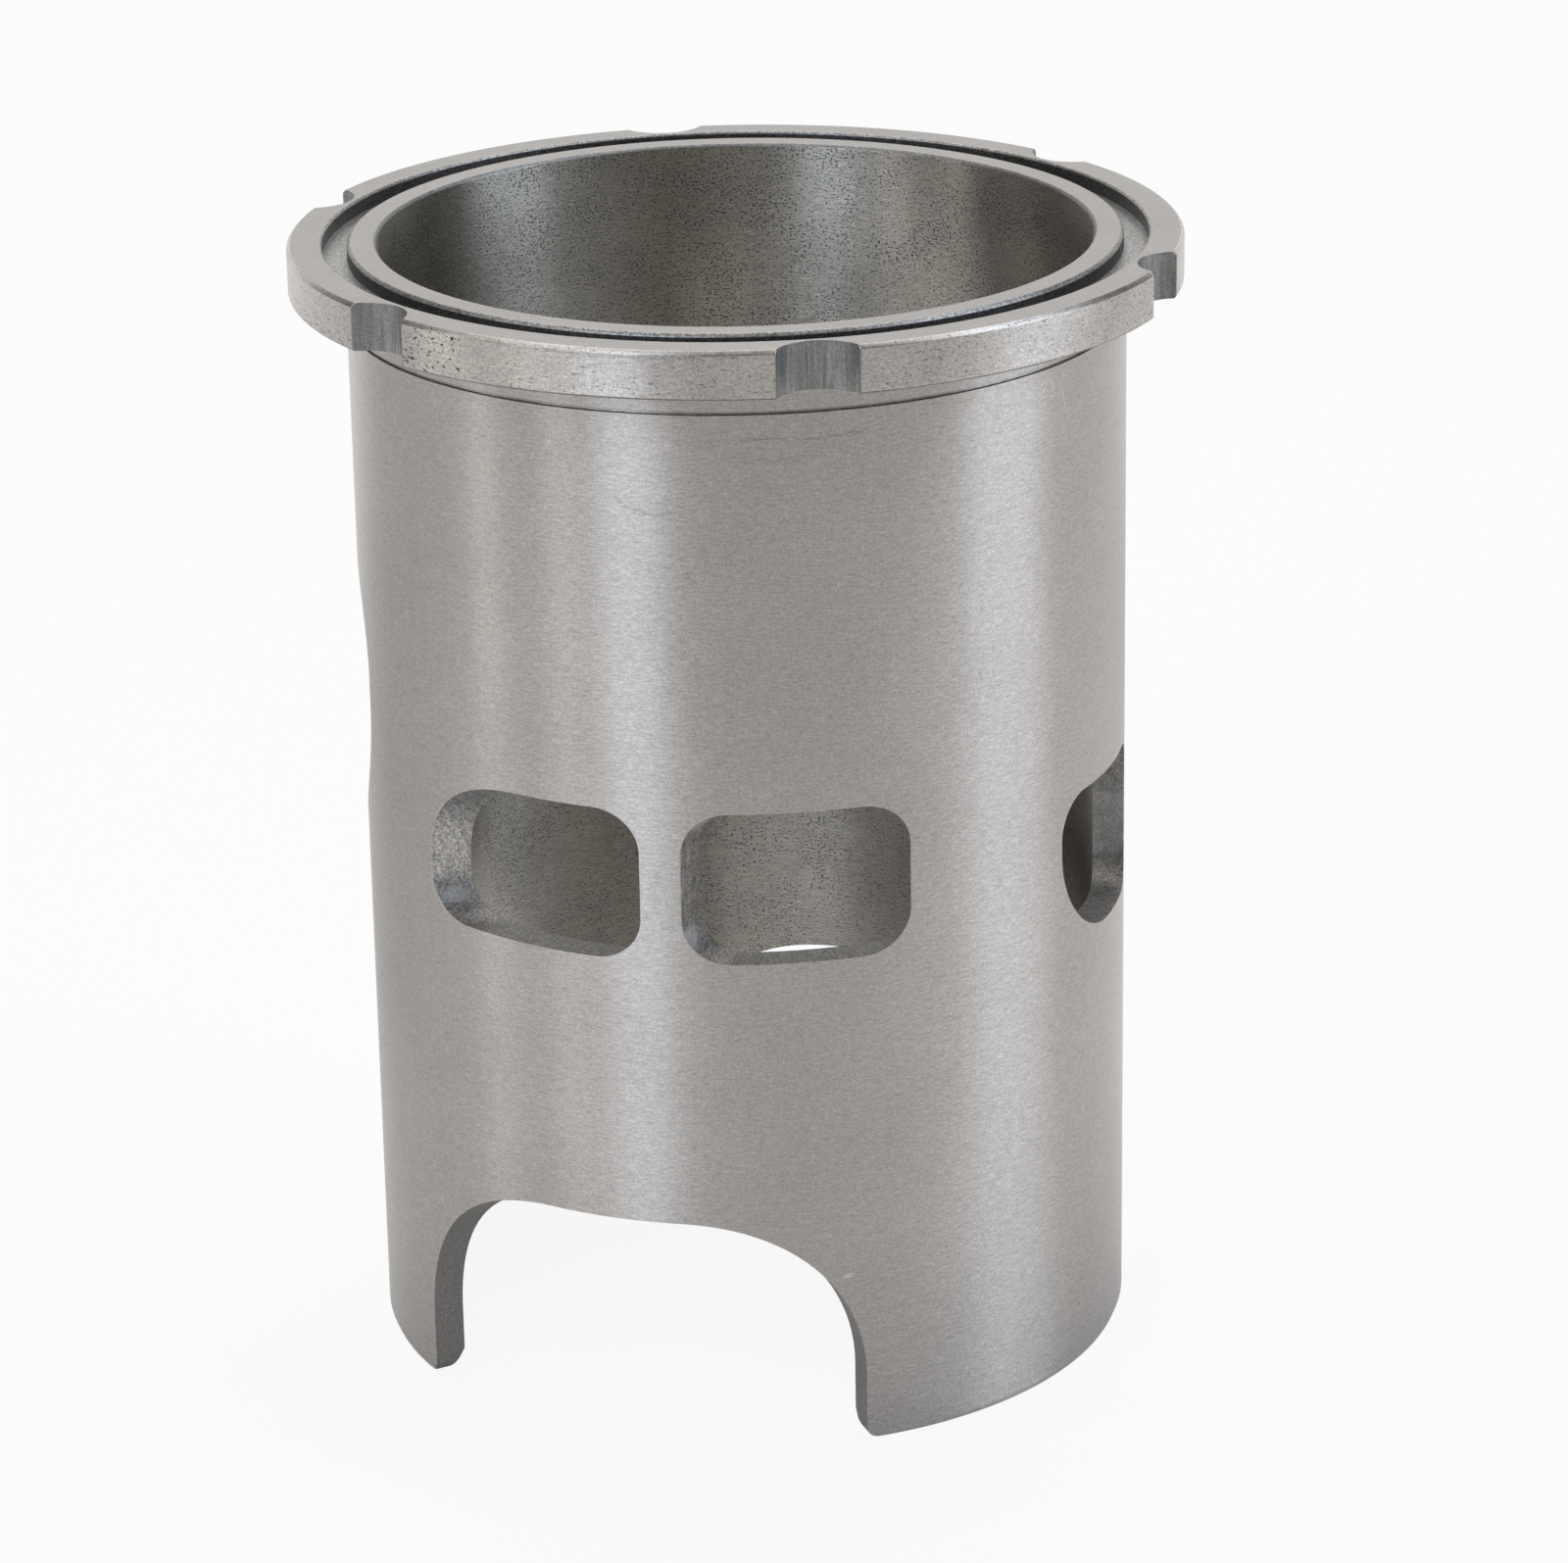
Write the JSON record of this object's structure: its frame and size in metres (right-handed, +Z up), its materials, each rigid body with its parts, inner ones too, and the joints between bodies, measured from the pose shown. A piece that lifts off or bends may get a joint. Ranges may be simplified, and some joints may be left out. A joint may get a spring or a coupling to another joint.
{
  "type": "cylinder liner",
  "caption": "Bare cast iron cylinder liner of a two-stroke engine, with a notched flange, transfer, boost and exhaust ports and two skirt arches.",
  "frame": {"origin": "centre of the circle that the skirt stands on", "axes": "+Z up along the bore axis towards the flange, +X towards the boost port, -X towards the exhaust port, -Y and +Y towards the skirt arches"},
  "size_m": [0.0822, 0.0826, 0.1068],
  "materials": {
    "iron": "machined and bare"
  },
  "bodies": {
    "root": {"liner": "iron"}
  },
  "joints": []
}
